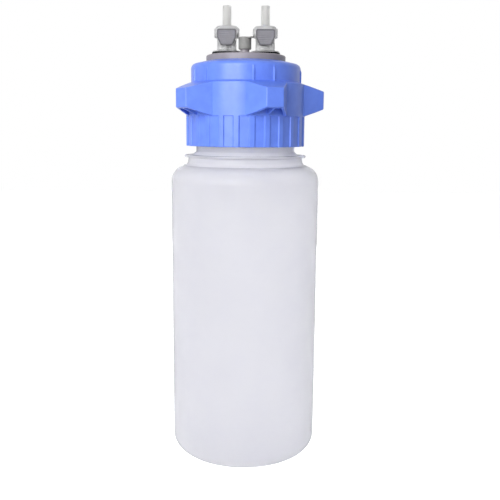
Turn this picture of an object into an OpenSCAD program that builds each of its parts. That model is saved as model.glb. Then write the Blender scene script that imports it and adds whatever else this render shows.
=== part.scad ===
// Collection bottle for laboratory suction: a translucent bottle, a winged screw ring,
// and a head plate with two push-button quick couplings and a capped vent spout.
// Millimetres. The origin is the centre of the base, +Z is up, and the push buttons face -Y.

/* [Bottle] */
// Outside diameter of the bottle
bottle_d = 145; // [130:1:160]
// Height of the body from its base to the top of the shoulder
body_h = 289; // [200:1:320]
// Wall thickness of the body
bottle_wall = 2; // [1.5:0.1:3]
// Radius of the edge between the wall and the base
base_edge_r = 14.3; // [8:0.1:18]
// Height that the middle of the base is pushed up
base_dome = 3; // [1:0.1:5]
// Width of the flat ring that the bottle stands on
foot_w = 7; // [4:0.5:10]
// Radius of the edge between the wall and the shoulder
shoulder_r = 14; // [8:0.5:18]
// Diameter of the collar where it leaves the shoulder
collar_d = 113.6; // [108:0.1:116]
// Height of the collar from the shoulder to the neck ring
collar_h = 8; // [5:0.5:14]
// Loss of diameter over the height of the collar
collar_taper = 2.6; // [0:0.1:4]
// Radius of the fillet between the shoulder and the collar
collar_fillet = 2.4; // [1:0.1:4]
// Diameter of the neck ring above the collar
neck_ring_d = 119; // [116:0.5:122]
// Thickness of the neck ring
neck_ring_t = 2.2; // [1.5:0.1:4]

/* [Neck and thread] */
// Outside diameter of the neck between its threads
neck_d = 96.4; // [93:0.1:98]
// Wall thickness of the neck
neck_wall = 3; // [2:0.1:4]
// Height of the neck from the top of its ring to the rim
neck_h = 77; // [72:1:90]
// Size of the chamfer at the foot of the neck
neck_foot = 2.5; // [1:0.1:4]
// Rise of the screw ring for each full turn
thread_pitch = 6; // [5:0.5:8]
// Height of a thread above the wall that carries it
thread_depth = 3; // [2:0.1:3.2]
// Width of a thread at its foot
thread_foot_w = 2.6; // [2:0.1:3]
// Width of a thread at its crest
thread_crest_w = 1.2; // [0.8:0.1:1.6]
// Length of each thread in turns
thread_turns = 1.3; // [1:0.1:1.6]
// Distance from the rim down to the lower end of the neck's thread
thread_drop = 24; // [20:1:30]
// Radial clearance between a thread's crest and the wall it faces
thread_clear = 0.6; // [0.3:0.1:1]

/* [Screw ring] */
// Outside diameter of the drum and of the ribs under it
ring_d = 115.8; // [114:0.1:120]
// Gap between the neck ring and the lower edge of the screw ring
ring_gap = 9.3; // [3:0.1:12]
// Height of the drum between the fluted skirt and the upper tier
drum_h = 30.2; // [24:0.1:34]
// Height of the upper tier
tier_h = 21.6; // [20:0.1:26]
// Diameter of the upper tier
tier_d = 105.8; // [105.4:0.1:110]
// Radius of the upper tier's top edge
tier_edge_r = 6; // [4:0.5:7]
// Slope of the top face, in degrees
top_slope = 19.3; // [10:0.1:22]
// Thickness of the top at the opening for the head plate
ring_top_t = 5.6; // [4.8:0.1:7]
// Wall thickness of the upper tier
tier_wall = 3.3; // [2.6:0.1:3.6]
// Number of flutes in the skirt
flute_count = 25; // [20:5:35]
// Width of the rib between two flutes
flute_rib_w = 4.9; // [3:0.1:6]
// Depth of a flute
flute_depth = 1.3; // [0.8:0.1:2]
// Width of the ribs on the upper tier
tier_rib_w = 2.2; // [1.5:0.1:3]
// Height of the ribs on the upper tier above its wall
tier_rib_h = 1.1; // [0.5:0.1:2]
// Angle from a wing's centre line to each rib of its pair on the tier
tier_rib_angle = 9.5; // [5:0.5:16]

/* [Wings] */
// Number of wings
wing_count = 5; // [3:1:6]
// Direction of the first wing, from the front towards +X
wing_turn = 20.8; // [0:0.1:72]
// Distance from the axis to a wing's end face
wing_reach = 75.5; // [70:0.1:80]
// Width of a wing's end face
wing_tip_w = 16.4; // [12:0.1:20]
// Angle from a wing's centre line to the foot of its flank on the drum
wing_foot_angle = 20.6; // [18:0.1:24]
// Fall of a wing's top from the drum to its end
wing_fall = 6; // [3:0.1:9]
// Rise of a wing's lower edge from the drum to its end
wing_rise = 7.4; // [4:0.1:9]
// Wall thickness of a hollow wing
wing_wall = 2.5; // [2:0.1:3.5]
// Thickness of the web in the middle of a wing
wing_web_t = 1.6; // [1:0.1:2.5]

/* [Head plate] */
// Diameter of the part that stands up through the screw ring
head_d = 76.4; // [74:0.1:80]
// Height of the head plate above the screw ring
head_rise = 5.6; // [2:0.1:7]
// Chamfer of the head plate's top edge
head_chamfer = 0.8; // [0.4:0.1:1.5]
// Thickness of the flange that the screw ring presses down
flange_t = 4.2; // [4:0.1:8]
// Chamfer of the flange's top edge
flange_chamfer = 2.5; // [1.5:0.1:3]
// Wall thickness of the head plate
head_wall = 3.5; // [3:0.1:4.5]
// Depth of the spigot inside the neck
spigot_h = 10; // [6:0.5:14]
// Radial clearance of the spigot in the neck
spigot_clear = 0.7; // [0.4:0.1:1.2]
// Radial clearance of the head plate in the screw ring
head_clear = 0.4; // [0.3:0.1:1]
// Thickness of the seal on the rim of the bottle
neck_gasket_t = 2; // [1.5:0.1:3]
// Height of the raised seat under the couplings
seat_h = 1.6; // [1:0.1:3]
// Width of the raised seat around the couplings' gaskets
seat_edge = 0.5; // [0.3:0.1:2]
// Distance between the axes of the two couplings
port_pitch = 36.8; // [36:0.1:40]

/* [Vent] */
// Distance of the vent to the right of the middle
vent_x = -1; // [-1.2:0.1:1.2]
// Distance that the vent stands in front of the head's axis
vent_y = 6.6; // [5.5:0.1:8]
// Outside diameter of the vent spout
spout_d = 8.6; // [7:0.1:9]
// Bore of the vent spout
spout_bore = 5; // [3:0.1:5.6]
// Height of the vent spout above its seat
spout_h = 12.6; // [9:0.1:14]
// Gap between the seat and the lower edge of the vent cap
vent_cap_gap = 3.9; // [1:0.1:5]
// Outside diameter of the vent cap
vent_cap_d = 11.7; // [11:0.1:12.6]
// Thickness of the vent cap's top
vent_cap_top = 2.6; // [1.5:0.1:3.5]
// Thickness of the vent cap's pull tab
tab_t = 1.4; // [1:0.1:2]
// Distance from the cap's axis to the end of its pull tab
tab_reach = 11.4; // [9:0.1:11.6]
// Width of the pull tab
tab_w = 3.2; // [2:0.1:3.4]
// Direction of the pull tab, from the front towards +X
tab_turn = 43; // [30:1:44]
// Radial clearance of the vent cap on its spout
vent_clear = 0.05; // [0.02:0.01:0.1]

/* [Coupling body] */
// Thickness of the flat gasket under a coupling
port_gasket_t = 1.4; // [1:0.1:2]
// Diameter of the flat gasket under a coupling
port_gasket_d = 28.6; // [26:0.1:29]
// Diameter of the coupling's foot
foot_d = 27.4; // [24:0.1:28]
// Thickness of the coupling's foot
foot_t = 1.2; // [1:0.1:2]
// Diameter of the lower barrel
barrel_d = 18.4; // [17.6:0.1:20]
// Height of the lower barrel
barrel_h = 12.7; // [12.2:0.1:14]
// Diameter of the block that houses the latch
block_d = 24; // [22.6:0.1:24.4]
// Height of the block that houses the latch
block_h = 10.3; // [9.6:0.1:13]
// Height of the chamfer around the block's top
block_bevel = 2.3; // [1:0.1:3]
// Bore of the socket that takes the plug-in barb
socket_d = 13; // [12.6:0.1:13.4]
// Wall left between the socket and the flat behind the button
socket_wall = 2; // [1.6:0.1:2.4]
// Diameter of the threaded stem through the head plate
stem_d = 12; // [11:0.1:12.6]
// Length of the threaded stem under the foot
stem_h = 19.6; // [17:0.1:22]
// Bore of the valve chamber
chamber_d = 8.4; // [8.2:0.1:8.8]
// Bore of the lip that the valve closes
lip_d = 6; // [5.8:0.1:6.2]
// Thickness of the lip that the valve closes
lip_t = 1.5; // [1:0.1:1.8]
// Diameter of the tail under the stem
tail_d = 7; // [6.4:0.1:8]
// Length of the tail under the stem
tail_h = 10; // [6:0.5:12]
// Bore of the tail
tail_bore = 4; // [3:0.1:4.6]
// Radial clearance of the stem in the head plate and the nut
stem_clear = 0.15; // [0.1:0.05:0.4]
// Width across the flats of the nut
nut_flats = 18; // [17:0.5:20]
// Thickness of the nut
nut_t = 5; // [4:0.1:6]

/* [Latch] */
// Travel of the push button
latch_travel = 2; // [1.5:0.1:2.2]
// Thickness of the latch plate
latch_t = 2.4; // [1.8:0.1:2.8]
// Height of the latch plate above the coupling's foot face
latch_z = 15.6; // [15.2:0.1:16]
// Width of the latch plate around its hole
latch_rim = 2.45; // [2:0.05:2.5]
// Width of the neck that joins the latch plate to its button
latch_neck_w = 11; // [8:0.5:12]
// Thickness of the push button
button_t = 2.2; // [2:0.1:3]
// Width of the push button
button_w = 18; // [14:0.1:18.4]
// Width of the push button at its lower end
button_low_w = 11; // [8:0.1:12]
// Height of the push button
button_h = 14.8; // [13:0.1:16]
// Height of the push button's lower end above the coupling's foot face
button_z = 5.9; // [5:0.1:6.2]
// Height of the tapered part of the push button
button_taper_h = 7.2; // [5:0.1:8]
// Chamfer around the push button's face
button_bevel = 0.6; // [0.3:0.1:0.8]
// Clearance around the latch plate in its slot
latch_clear = 0.3; // [0.2:0.05:0.4]
// Outside diameter of the latch spring
latch_spring_d = 3.6; // [3:0.1:4]
// Wire of the latch spring
latch_spring_wire = 0.45; // [0.35:0.05:0.5]
// Depth of the spring's pockets in the button and in the barrel
latch_spring_pocket = 1; // [0.6:0.1:1.2]

/* [Plug-in barb] */
// Outside diameter of the hose tube
tube_d = 8.2; // [7:0.1:9]
// Height of the hose tube above the coupling
tube_h = 19.2; // [14:0.1:24]
// Bore of the hose tube
tube_bore = 5; // [4:0.1:5.2]
// Radial clearance of the plug in its socket
plug_clear = 0.1; // [0.05:0.01:0.1]
// Width of the groove for the plug's O-ring
plug_groove_w = 1.9; // [1.7:0.1:2.1]
// Depth of the groove for the plug's O-ring
plug_groove_depth = 1.3; // [1.2:0.05:1.5]

/* [Valve and drop tube] */
// Distance that the plug holds the valve open
valve_opening = 3.5; // [2.5:0.1:4.5]
// Thickness of the poppet's plate
poppet_t = 1.2; // [1:0.1:1.8]
// Thickness of the poppet's fins
poppet_fin_t = 1; // [0.8:0.1:1.4]
// Wire of the poppet spring
poppet_spring_wire = 0.7; // [0.5:0.05:0.8]
// Outside diameter of the poppet spring
poppet_spring_d = 6.4; // [5.6:0.1:7]
// Section of the poppet's O-ring
poppet_seal_w = 1; // [0.8:0.05:1]
// Outside diameter of the drop tube
drop_tube_d = 10; // [9.4:0.1:11]
// Length of the drop tube
drop_tube_h = 46; // [30:1:60]

/* [Hidden] */

$fn = 96;
overshoot = 1;     // how far a cutter runs past the face that it cuts
skin = 0.02;       // gap between a seal and the faces beside it

// Bottle
bottle_r = bottle_d / 2;
neck_r = neck_d / 2;
neck_ring_z = body_h + collar_h;
neck_z = neck_ring_z + neck_ring_t;
rim_z = neck_z + neck_h;
neck_bore_r = neck_r - neck_wall;
dome_r = bottle_r - base_edge_r - foot_w;
dome_top_r = dome_r / 2;

// Thread
crest_r = neck_r + thread_depth;
ring_bore_r = crest_r + thread_clear;
ring_crest_r = neck_r + thread_clear;
thread_z = rim_z - thread_drop;
thread_bed = 0.8;                     // how deep a thread is rooted in its wall
thread_steps = ceil(48 * thread_turns);
thread_lead = 4;                      // steps over which a thread's end rises

// Screw ring, from its top down
flange_z = rim_z + neck_gasket_t;
ring_seat_z = flange_z + flange_t;
ring_top_z = ring_seat_z + ring_top_t;
drum_top_z = ring_top_z - tier_h;
drum_z = drum_top_z - drum_h;
ring_z = neck_z + ring_gap;
ring_r = ring_d / 2;
tier_r = tier_d / 2;
tier_bore_r = tier_r - tier_wall;
head_hole_r = head_d / 2 + head_clear;
mouth_chamfer = 1.5;                  // chamfer of the bore's lower edge
bore_cone_z = drum_top_z - 2;         // where the bore starts to narrow under the tier
wing_root = 0.9;                      // share of the drum's radius where a wing is rooted
wing_inset = 0.3;                     // how far the hollows stay outside the drum
wing_bed = 8;                         // how far the wings reach into the drum
tier_rib_drop = 3;                    // how far the tier's ribs end below its edge
tier_rib_fade = 0.55;                 // rise of a rib's end, as a share of that edge
wing_corner_r = norm([wing_reach, wing_tip_w / 2]);
wing_foot = ring_r * [sin(wing_foot_angle), cos(wing_foot_angle)];
wing_tip = [wing_tip_w / 2, wing_reach];

// Head plate
head_top_z = ring_top_z + head_rise;
head_under_z = head_top_z - head_wall;
seat_z = head_top_z + seat_h;
spigot_r = neck_bore_r - spigot_clear;
flange_r = neck_r + 0.3;              // the flange stands just past the rim
port_gasket_r = port_gasket_d / 2;
stem_hole_r = stem_d / 2 + stem_clear;

// Coupling, measured up from the face of its foot
foot_z = seat_z + port_gasket_t;
barrel_top = foot_t + barrel_h;
block_top = barrel_top + block_h;
block_r = block_d / 2;
flat_y = socket_d / 2 + socket_wall;
flat_z = button_z - 0.6;              // lower end of the flat behind the button
plug_r = socket_d / 2 - plug_clear;
latch_play = 0.35;                    // radial play of the plug in the latch's hole
latch_hole_r = plug_r + latch_play;
latch_r = latch_hole_r + latch_rim;
latch_groove_r = latch_hole_r - latch_travel - latch_clear;
slot_r = latch_r + latch_clear;
slot_gap = latch_clear / 2;
button_back = flat_y + latch_travel + latch_clear;
button_face = button_back + button_t;
latch_spring_z = button_z + 4.9;      // axis of the latch spring
latch_spring_seat = flat_y - latch_spring_pocket;
latch_spring_turns = 3;
socket_floor = 6.9;                   // height of the socket's floor
plug_tip = socket_floor + 0.3;        // height of the plug's lower end
plug_seal_z = plug_tip + 1.4;         // lower side of the groove for the plug's O-ring
plug_sink = 0.5;                      // how far the plug's top lies below the block's
shank_cone = 1.8;                     // size of the cone at the foot of the hose tube
tube_chamfer = 0.8;                   // chamfer of the hose tube's end
lip_under = socket_floor - lip_t;
chamber_base = 8;                     // thickness under the valve chamber
chamber_floor = chamber_base - stem_h;
poppet_spring_turns = 5;
poppet_stem_gap = 2;                  // space between the poppet's stem and that floor
valve_seat = lip_under - valve_opening;
poppet_flange = valve_seat - poppet_seal_w;
poppet_r = chamber_d / 2 - 0.3;
poppet_hub_r = poppet_r - poppet_seal_w;
drop_tube_z = foot_z - stem_h - 1;

// Vent cap
spout_top_z = seat_z + spout_h;
vent_cap_z = seat_z + vent_cap_gap;
vent_cap_top_z = spout_top_z + skin + vent_cap_top;
cap_edge = 0.8;                       // chamfer of the vent cap's lower edge
cap_bead = 0.35;                      // how far the cap's rim stands out
tab_corner = 0.9;                     // cut corner of the pull tab's end
tab_step = 0.3;                       // how far the cap's rim is thicker than the tab

// A body of revolution with stacked layers [radius, height], from z up
module turned(z, layers) {
    for (i = [0:len(layers) - 1])
        translate([0, 0, z + (i == 0 ? 0 : sum([for (k = [0:i - 1]) layers[k][1]]))])
            cylinder(r = layers[i][0], h = layers[i][1]);
}

function sum(list, i = 0) = i < len(list) ? list[i] + sum(list, i + 1) : 0;

// A solid that joins a row of equal rings of points, closed at both ends
module swept(rings) {
    count = len(rings[0]);
    last = len(rings) - 1;
    sides = [for (i = [0:last - 1], k = [0:count - 1])
        let (a = i * count + k, b = i * count + (k + 1) % count)
        each [[a, a + count, b], [b, a + count, b + count]]];
    ends = [[for (k = [0:count - 1]) k], [for (k = [count - 1:-1:0]) last * count + k]];
    polyhedron([for (ring = rings) each ring], concat(sides, ends));
}

// One point of a thread: its turn, its radius and its height above the helix
function on_helix(turn, r, z) =
    [r * cos(360 * turn), r * sin(360 * turn), thread_pitch * turn + z];

// Share of its full height that a thread has at a step
function thread_rise(step) =
    min(1, (step + 0.5) / thread_lead, (thread_steps - step + 0.5) / thread_lead);

// A thread rooted at radius foot_r, with its crest at radius top_r
module thread(foot_r, top_r) {
    out = top_r > foot_r ? 1 : -1;
    swept([for (step = [0:thread_steps])
        let (turn = step / thread_steps * thread_turns,
            r = foot_r + (top_r - foot_r) * thread_rise(step),
            foot = thread_foot_w / 2, crest = thread_crest_w / 2)
        [on_helix(turn, foot_r, out * foot), on_helix(turn, r, out * crest),
            on_helix(turn, r, -out * crest), on_helix(turn, foot_r, -out * foot)]]);
}

// A coil spring along +Z with its lower end at the origin
module coil(d, wire, height, turns) {
    steps = 12;
    sides = 6;
    r = (d - wire) / 2;
    climb = height - wire;
    swept([for (step = [0:turns * steps])
        [for (k = [0:sides - 1])
            let (a = 360 * step / steps, b = -360 * k / sides, s = r + wire / 2 * cos(b))
            [s * cos(a), s * sin(a), wire / 2 * (1 + sin(b)) + climb * step / (turns * steps)]]]);
}

// A ring of round section
module o_ring(inner_r, section) {
    rotate_extrude() translate([inner_r + section / 2, 0]) circle(d = section, $fn = 32);
}

// A flat ring between two radii, from the origin up
module flat_ring(inner_r, outer_r, height) {
    difference() {
        cylinder(r = outer_r, h = height);
        translate([0, 0, -overshoot]) cylinder(r = inner_r, h = height + 2 * overshoot);
    }
}

// Half outline of the bottle's body and collar, moved in by a wall thickness
module bottle_half(wall) {
    r = bottle_r - wall;
    low_r = base_edge_r - wall;
    top_r = shoulder_r - wall;
    collar_low = collar_d / 2 - wall;
    collar_high = collar_low - collar_taper / 2;
    fillet = collar_fillet + wall;
    top_z = body_h - wall;
    // Centres of the fillet and of the arc that it meets, and the point where they touch
    arc = [min(r - top_r, collar_low + fillet), body_h - shoulder_r];
    reach = top_r + fillet;
    rise = sqrt(reach * reach - pow(collar_low + fillet - arc[0], 2));
    hollow = [collar_low + fillet, arc[1] + rise];
    touch = arc + (hollow - arc) * top_r / reach;
    translate([0, wall]) square([r - low_r, top_z - wall]);
    translate([0, base_edge_r]) square([r, body_h - base_edge_r - shoulder_r]);
    translate([0, wall + low_r]) square([r - top_r, top_z - wall - low_r]);
    translate([r - low_r, base_edge_r]) circle(low_r);
    translate([r - top_r, body_h - shoulder_r]) circle(top_r);
    difference() {
        polygon([[0, arc[1]], arc, touch, hollow, [collar_low, hollow[1]], [0, hollow[1]]]);
        translate(hollow) circle(fillet);
    }
    polygon([[0, top_z], [collar_low, top_z], [collar_high, neck_ring_z],
        [collar_high, neck_z - wall], [0, neck_z - wall]]);
}

module bottle() {
    color([0.93, 0.93, 0.96, 0.85]) {
        difference() {
            union() {
                rotate_extrude() bottle_half(0);
                translate([0, 0, neck_ring_z]) cylinder(d = neck_ring_d, h = neck_ring_t);
                translate([0, 0, neck_z])
                    cylinder(r1 = neck_r + 1.5 * neck_foot, r2 = neck_r, h = neck_foot);
                cylinder(r = neck_r, h = rim_z);
            }
            difference() {
                rotate_extrude() bottle_half(bottle_wall);
                push_up(bottle_wall);
            }
            translate([0, 0, body_h]) cylinder(r = neck_bore_r, h = rim_z);
            push_up(0);
        }
        translate([0, 0, thread_z]) thread(neck_r - thread_bed, crest_r);
    }
}

// The shallow hollow pushed up into the base, as seen above a wall thickness
module push_up(wall) {
    translate([0, 0, wall])
        cylinder(r1 = dome_r + wall / 2, r2 = dome_top_r + wall / 2, h = base_dome);
}

// Directions of the wings
module at_wings() {
    for (i = [0:wing_count - 1]) rotate(wing_turn + 360 / wing_count * i) mirror([0, 1, 0]) children();
}

// Top face of the wings as a height over the radius, lowered by a wall thickness
function wing_top(r, wall) = drum_top_z - wall - wing_fall * (r - ring_r) / (wing_corner_r - ring_r);

// Lower edge of the wings as a height over the radius
function wing_low(r) = drum_z + wing_rise * (r - ring_r) / (wing_corner_r - ring_r);

// The turned space between the lower edge and the top face of the wings
module wing_envelope(low_z, wall) {
    far = wing_corner_r + overshoot;
    near = ring_r - wing_bed;
    rotate_extrude()
        polygon([[near, low_z], [ring_r, low_z], [far, low_z < drum_z ? low_z : wing_low(far)],
            [far, wing_top(far, wall)], [near, wing_top(near, wall)]]);
}

module wings() {
    intersection() {
        translate([0, 0, drum_z]) linear_extrude(drum_h + wing_fall)
            at_wings() polygon([[-wing_tip[0], wing_tip[1]], wing_tip, wing_foot,
                [wing_foot[0], wing_root * wing_foot[1]],
                [-wing_foot[0], wing_root * wing_foot[1]],
                [-wing_foot[0], wing_foot[1]]]);
        wing_envelope(drum_z, 0);
    }
}

// The two hollows of every wing, open below, beside its middle web
module wing_hollows() {
    along = (wing_foot - wing_tip) / norm(wing_foot - wing_tip);
    inward = [along[1], -along[0]];
    edge = wing_tip + wing_wall * inward;
    end_y = wing_reach - wing_wall;
    end_x = edge[0] + along[0] * (end_y - edge[1]) / along[1];
    foot = wing_foot + wing_wall * inward;
    intersection() {
        translate([0, 0, drum_z - overshoot]) linear_extrude(drum_h + 2 * overshoot)
            difference() {
                at_wings() for (side = [-1, 1])
                    polygon([[side * wing_web_t / 2, end_y], [side * end_x, end_y],
                        [side * foot[0], foot[1]], [side * wing_web_t / 2, foot[1]]]);
                circle(ring_r + wing_inset);
            }
        wing_envelope(drum_z - overshoot, wing_wall);
    }
}

// Half outline of the upper tier, with a round edge under the sloping top face
module tier_half() {
    edge = tier_r - tier_edge_r;
    touch_r = edge + tier_edge_r * sin(top_slope);
    touch_z = ring_top_z - (touch_r - head_hole_r) * tan(top_slope);
    edge_z = touch_z - tier_edge_r * cos(top_slope);
    translate([edge, edge_z]) circle(tier_edge_r);
    polygon([[0, bore_cone_z], [tier_r, bore_cone_z], [tier_r, edge_z], [edge, edge_z],
        [touch_r, touch_z], [head_hole_r, ring_top_z], [0, ring_top_z]]);
}

// The pairs of upright ribs on the tier
module tier_ribs() {
    rib_r = tier_r + tier_rib_h;
    root_r = tier_r - 2;
    high_z = ring_top_z - tier_edge_r - tier_rib_drop;
    intersection() {
        rotate_extrude()
            polygon([[root_r, drum_top_z - 1], [rib_r, drum_top_z - 1], [rib_r, high_z],
                [root_r, high_z + tier_rib_fade * tier_edge_r]]);
        at_wings() for (side = [-1, 1]) rotate(side * tier_rib_angle)
            translate([-tier_rib_w / 2, root_r - 2, drum_top_z - 2])
                cube([tier_rib_w, tier_rib_h + 6, tier_h]);
    }
}

module flutes() {
    pitch_w = 2 * ring_r * sin(180 / flute_count);
    flute_w = pitch_w - flute_rib_w;
    for (i = [0:flute_count - 1])
        rotate(wing_turn + 360 / flute_count * (i + 0.5))
            translate([-flute_w / 2, -ring_r - overshoot, ring_z - overshoot])
                cube([flute_w, overshoot + flute_depth, drum_z - ring_z + overshoot]);
}

// The inside of the screw ring: thread bore, upper bore, and the opening for the head plate
module ring_inside() {
    slant = tier_bore_r + ring_seat_z - flange_chamfer - 0.1;
    rotate_extrude()
        polygon([[0, ring_z - overshoot],
            [ring_bore_r + mouth_chamfer + overshoot, ring_z - overshoot],
            [ring_bore_r, ring_z + mouth_chamfer], [ring_bore_r, bore_cone_z],
            [tier_bore_r, bore_cone_z + ring_bore_r - tier_bore_r],
            [tier_bore_r, slant - tier_bore_r], [slant - ring_seat_z, ring_seat_z],
            [head_hole_r, ring_seat_z], [head_hole_r, ring_top_z + overshoot],
            [0, ring_top_z + overshoot]]);
}

module screw_ring() {
    inner_r = tier_bore_r - overshoot;
    color([0.43, 0.56, 0.94]) {
        difference() {
            union() {
                rotate_extrude() {
                    polygon([[inner_r, ring_z], [ring_r, ring_z], [ring_r, drum_top_z],
                        [inner_r, wing_top(inner_r, 0)]]);
                    tier_half();
                }
                wings();
                tier_ribs();
            }
            flutes();
            wing_hollows();
            ring_inside();
        }
        translate([0, 0, thread_z - thread_pitch / 2])
            thread(ring_bore_r + thread_bed, ring_crest_r);
    }
}

// Places of the two couplings along X
module at_port(side) {
    translate([side * port_pitch / 2, 0, foot_z]) children();
}

module head_plate() {
    color([0.60, 0.59, 0.60]) difference() {
        union() {
            rotate_extrude()
                polygon([[0, rim_z - spigot_h], [spigot_r, rim_z - spigot_h],
                    [spigot_r, flange_z], [flange_r, flange_z],
                    [flange_r, ring_seat_z - flange_chamfer],
                    [flange_r - flange_chamfer, ring_seat_z], [head_d / 2, ring_seat_z],
                    [head_d / 2, head_top_z - head_chamfer],
                    [head_d / 2 - head_chamfer, head_top_z], [0, head_top_z]]);
            translate([0, 0, head_top_z - overshoot]) linear_extrude(seat_h + overshoot) {
                for (side = [-1, 1]) translate([side * port_pitch / 2, 0])
                    circle(port_gasket_r + seat_edge);
                square([port_pitch, port_gasket_d + 2 * seat_edge], center = true);
            }
            translate([vent_x, -vent_y, head_under_z])
                cylinder(d = spout_d, h = spout_top_z - head_under_z);
        }
        turned(rim_z - spigot_h - overshoot,
            [[spigot_r - head_wall, spigot_h + overshoot + ring_seat_z - head_wall - rim_z],
            [head_d / 2 - head_wall, head_under_z - ring_seat_z + head_wall]]);
        for (side = [-1, 1]) at_port(side)
            translate([0, 0, -stem_h]) cylinder(r = stem_hole_r, h = stem_h + overshoot);
        translate([vent_x, -vent_y, head_under_z - overshoot])
            cylinder(d = spout_bore, h = spout_top_z - head_under_z + 2 * overshoot);
    }
}

module neck_gasket() {
    color([0.16, 0.16, 0.17]) translate([0, 0, rim_z])
        flat_ring(spigot_r + 0.1, neck_r, neck_gasket_t);
}

module vent_cap() {
    cap_r = vent_cap_d / 2;
    bore_r = spout_d / 2 + vent_clear;
    tab_z = vent_cap_top_z - tab_t;
    bead_z = tab_z - tab_step;
    color([0.58, 0.58, 0.58]) translate([vent_x, -vent_y, 0]) {
        rotate_extrude()
            polygon([[bore_r, vent_cap_z], [cap_r - cap_edge, vent_cap_z],
                [cap_r, vent_cap_z + cap_edge], [cap_r, bead_z], [cap_r + cap_bead, bead_z],
                [cap_r + cap_bead, vent_cap_top_z], [0, vent_cap_top_z],
                [0, spout_top_z + skin], [bore_r, spout_top_z + skin]]);
        rotate(tab_turn) translate([0, 0, tab_z]) linear_extrude(tab_t)
            polygon([[-tab_w / 2, -cap_r / 2], [-tab_w / 2, tab_corner - tab_reach],
                [tab_corner - tab_w / 2, -tab_reach], [tab_w / 2 - tab_corner, -tab_reach],
                [tab_w / 2, tab_corner - tab_reach], [tab_w / 2, -cap_r / 2]]);
    }
}

module drop_tube() {
    color([0.90, 0.90, 0.92])
        translate([-port_pitch / 2, 0, drop_tube_z - drop_tube_h])
            flat_ring(tail_d / 2 + skin, drop_tube_d / 2, drop_tube_h);
}

module coupling_body(side) {
    tail_z = -stem_h - tail_h;
    color([0.86, 0.86, 0.87]) at_port(side) difference() {
        union() {
            turned(tail_z, [[tail_d / 2, tail_h], [stem_d / 2, stem_h], [foot_d / 2, foot_t],
                [barrel_d / 2, barrel_h], [block_r, block_h - block_bevel]]);
            translate([0, 0, block_top - block_bevel])
                cylinder(r1 = block_r, r2 = block_r - block_bevel, h = block_bevel);
        }
        turned(tail_z - overshoot,
            [[tail_bore / 2, chamber_floor - tail_z + overshoot],
            [chamber_d / 2, lip_under - chamber_floor], [lip_d / 2, lip_t],
            [socket_d / 2, block_top - socket_floor + overshoot]]);
        translate([-block_r, -block_r - overshoot, flat_z])
            cube([block_d, block_r + overshoot - flat_y, block_top + overshoot - flat_z]);
        translate([0, 0, latch_z - slot_gap]) latch_slot(latch_t + 2 * slot_gap);
        translate([0, -latch_spring_seat, latch_spring_z]) rotate([90, 0, 0])
            cylinder(d = latch_spring_d + 0.6, h = latch_spring_pocket + overshoot);
    }
}

// The space that the latch plate slides in
module latch_slot(height) {
    linear_extrude(height) {
        circle(slot_r);
        translate([0, -latch_travel]) circle(slot_r);
        translate([-slot_r, -latch_travel]) square([2 * slot_r, latch_travel]);
    }
}

module port_gasket(side) {
    color([0.10, 0.10, 0.11]) at_port(side) translate([0, 0, -port_gasket_t])
        flat_ring(stem_hole_r, port_gasket_r, port_gasket_t);
}

module port_nut(side) {
    color([0.86, 0.86, 0.87]) at_port(side)
        translate([0, 0, head_under_z - foot_z - nut_t]) difference() {
            cylinder(d = nut_flats / cos(30), h = nut_t, $fn = 6);
            translate([0, 0, -overshoot])
                cylinder(r = stem_hole_r, h = nut_t + 2 * overshoot);
        }
}

// Outline of the push button's face, made smaller by an edge
module button_outline(edge) {
    w = button_w / 2 - edge;
    low_w = button_low_w / 2 - edge;
    top = button_z + button_h - edge;
    corner = 1.5;
    for (side = [-1, 1]) translate([side * (w - corner), top - corner]) circle(corner, $fn = 48);
    polygon([[-low_w, button_z + edge], [low_w, button_z + edge], [w, button_z + button_taper_h],
        [w, top - corner], [w - corner, top - corner], [w - corner, top], [corner - w, top],
        [corner - w, top - corner], [-w, top - corner], [-w, button_z + button_taper_h]]);
}

module latch(side) {
    color([0.58, 0.57, 0.61]) at_port(side) {
        difference() {
            translate([0, -button_back, 0]) rotate([90, 0, 0]) {
                linear_extrude(button_t - button_bevel) button_outline(0);
                linear_extrude(button_t) button_outline(button_bevel);
            }
            translate([0, -button_back - latch_spring_pocket, latch_spring_z])
                rotate([-90, 0, 0])
                    cylinder(d = latch_spring_d + 0.4, h = latch_spring_pocket + overshoot);
        }
        translate([0, 0, latch_z]) linear_extrude(latch_t) difference() {
            union() {
                translate([0, -latch_travel]) circle(latch_r);
                translate([-latch_neck_w / 2, -button_back])
                    square([latch_neck_w, button_back - latch_travel]);
            }
            translate([0, -latch_travel]) circle(latch_hole_r);
        }
    }
}

module latch_spring(side) {
    back = button_back + latch_spring_pocket - skin;
    color([0.75, 0.75, 0.76]) at_port(side)
        translate([0, -latch_spring_seat - skin, latch_spring_z]) rotate([90, 0, 0])
            coil(latch_spring_d, latch_spring_wire, back - latch_spring_seat - skin,
                latch_spring_turns);
}

module barb(side) {
    groove_r = plug_r - plug_groove_depth;
    color([0.88, 0.88, 0.89]) at_port(side) difference() {
        union() {
            translate([0, 0, plug_tip]) cylinder(r = plug_r, h = block_top - plug_tip - plug_sink);
            translate([0, 0, block_top - plug_sink - plug_clear])
                cylinder(r1 = tube_d / 2 + shank_cone, r2 = tube_d / 2, h = shank_cone);
            translate([0, 0, block_top - overshoot])
                cylinder(d = tube_d, h = tube_h + overshoot - tube_chamfer);
            translate([0, 0, block_top + tube_h - tube_chamfer])
                cylinder(d1 = tube_d, d2 = tube_d - 2 * tube_chamfer, h = tube_chamfer);
        }
        translate([0, 0, plug_tip - overshoot])
            cylinder(d = tube_bore, h = block_top + tube_h - plug_tip + 2 * overshoot);
        translate([0, 0, plug_seal_z])
            flat_ring(groove_r, plug_r + overshoot, plug_groove_w);
        translate([0, 0, latch_z - latch_clear])
            flat_ring(latch_groove_r, plug_r + overshoot, latch_t + 2 * latch_clear);
    }
}

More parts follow.
